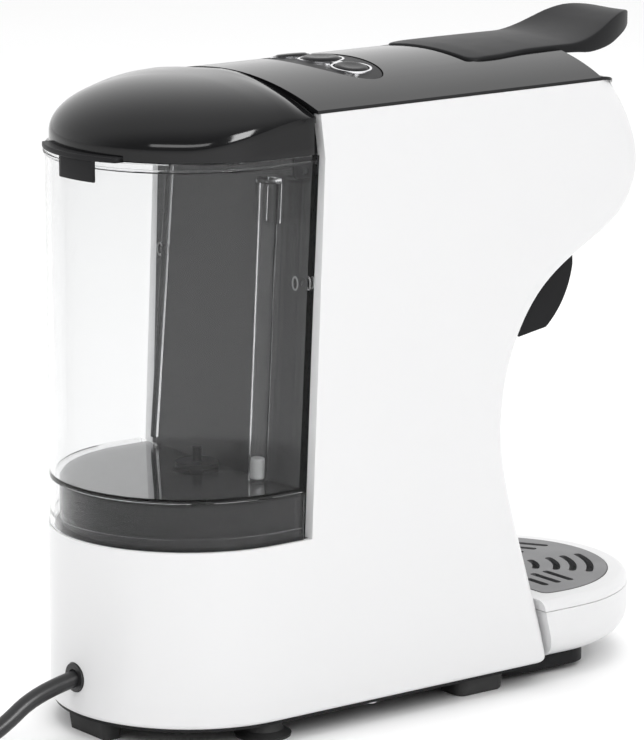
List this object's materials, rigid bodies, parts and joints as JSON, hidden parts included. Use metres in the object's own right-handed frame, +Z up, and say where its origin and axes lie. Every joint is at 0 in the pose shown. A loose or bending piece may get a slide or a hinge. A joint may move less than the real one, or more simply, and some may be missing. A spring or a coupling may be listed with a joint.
{
  "type": "pod coffee machine",
  "caption": "Slim capsule coffee machine with a lift-up lever, a rear water tank under a hinged lid, a spout, and a drip tray that slides forward.",
  "frame": {"origin": "on the table, under the middle of the machine's length and width, the cord left out", "axes": "+Z up, -Y towards the front with the spout and drip tray, +X to the machine's side"},
  "size_m": [0.1195, 0.4705, 0.2784],
  "materials": {
    "white_shell": "satin gloss white moulding",
    "black_gloss": "high gloss black moulding",
    "dark_satin": "fine satin texture",
    "buttons": "gloss",
    "chrome_trim": "plated",
    "clear_plastic": "clear moulded plastic",
    "grille_grey": "satin grey moulding",
    "rubber": "matt",
    "steel": "bright",
    "heater_alloy": "as cast",
    "inner_plastic": "natural",
    "board": "lacquered",
    "hose": "silicone",
    "cord": "smooth black sheath"
  },
  "bodies": {
    "casing": {"base_plate": "dark_satin", "base_screws": "steel", "board_parts": "inner_plastic", "brew_chamber": "inner_plastic", "brew_hose": "hose", "button_trim": "chrome_trim", "circuit_board": "board", "column_panel": "black_gloss", "control_panel": "dark_satin", "cord_coil": "cord", "cord_gland": "cord", "feed_hose": "hose", "flow_meter": "inner_plastic", "front_foot_left": "rubber", "front_foot_right": "rubber", "front_panel": "black_gloss", "head_frame": "dark_satin", "heater_bracket": "steel", "heater_hose": "hose", "inlet_seal": "rubber", "lever_bed": "dark_satin", "lever_pin": "steel", "nose_cover": "dark_satin", "outer_housing": "white_shell", "plug": "cord", "power_cord": "cord", "pump": "inner_plastic", "pump_bracket": "steel", "pump_hose": "hose", "pump_mounts": "rubber", "rear_foot": "rubber", "rear_wall": "dark_satin", "spout_nozzle": "dark_satin", "suction_foot_left": "rubber", "suction_foot_right": "rubber", "switch_board": "board", "tank_pedestal": "black_gloss", "terminal_block": "inner_plastic", "thermoblock": "heater_alloy", "thermostat": "steel", "top_cover": "black_gloss"},
    "lever": {"lever": "dark_satin"},
    "piston": {"brew_piston": "inner_plastic", "piercing_plate": "steel"},
    "holder": {"capsule_holder": "dark_satin"},
    "tank": {"water_tank": "clear_plastic", "gauge_tube": "clear_plastic", "hinge_bracket": "dark_satin", "hinge_pin": "steel"},
    "valve": {"tank_valve": "dark_satin"},
    "float": {"level_float": "inner_plastic"},
    "lid": {"tank_lid": "black_gloss"},
    "tray": {"tray_body": "white_shell", "tray_rim": "white_shell"},
    "grille": {"drip_grille": "grille_grey"},
    "small_cup_button": {"button_small_cup": "buttons"},
    "power_button": {"button_power": "buttons"},
    "large_cup_button": {"button_large_cup": "buttons"}
  },
  "joints": [
    {"name": "lever_hinge", "type": "hinge", "parent": "casing", "child": "lever", "pos_m": [0, -0.041, 0.2652], "axis": [-1, 0, 0], "range_deg": [0, 70]},
    {"name": "piston_slide", "type": "slide", "parent": "casing", "child": "piston", "axis": [0, 0, 1], "range_m": [0, 0.0104]},
    {"name": "holder_slide", "type": "slide", "parent": "casing", "child": "holder", "axis": [0, -1, 0], "range_m": [0, 0.07]},
    {"name": "tank_slide", "type": "slide", "parent": "casing", "child": "tank", "axis": [0, 0.2079, 0.9781], "range_m": [0, 0.19]},
    {"name": "lid_hinge", "type": "hinge", "parent": "tank", "child": "lid", "pos_m": [0, 0.0692, 0.2647], "axis": [1, 0, 0], "range_deg": [0, 80]},
    {"name": "valve_slide", "type": "slide", "parent": "tank", "child": "valve", "axis": [0, 0, 1], "range_m": [0, 0.002], "stiffness_N_per_m": 60, "springref_m": -0.003},
    {"name": "float_slide", "type": "slide", "parent": "tank", "child": "float", "axis": [0, -0.051, 0.9987], "range_m": [0, 0.1]},
    {"name": "tray_slide", "type": "slide", "parent": "casing", "child": "tray", "axis": [0, -1, 0], "range_m": [0, 0.11]},
    {"name": "grille_lift", "type": "slide", "parent": "tray", "child": "grille", "axis": [0, 0, 1], "range_m": [0, 0.05]},
    {"name": "small_cup_press", "type": "slide", "parent": "casing", "child": "small_cup_button", "axis": [0, 0, -1], "range_m": [0, 0.0012], "stiffness_N_per_m": 600, "springref_m": -0.0005},
    {"name": "power_press", "type": "slide", "parent": "casing", "child": "power_button", "axis": [0, 0, -1], "range_m": [0, 0.0012], "stiffness_N_per_m": 600, "springref_m": -0.0005},
    {"name": "large_cup_press", "type": "slide", "parent": "casing", "child": "large_cup_button", "axis": [0, 0, -1], "range_m": [0, 0.0012], "stiffness_N_per_m": 600, "springref_m": -0.0005}
  ],
  "couplings": [
    {"joint": "piston_slide", "follows": "lever_hinge", "m_per_rad": 0.0084506}
  ]
}
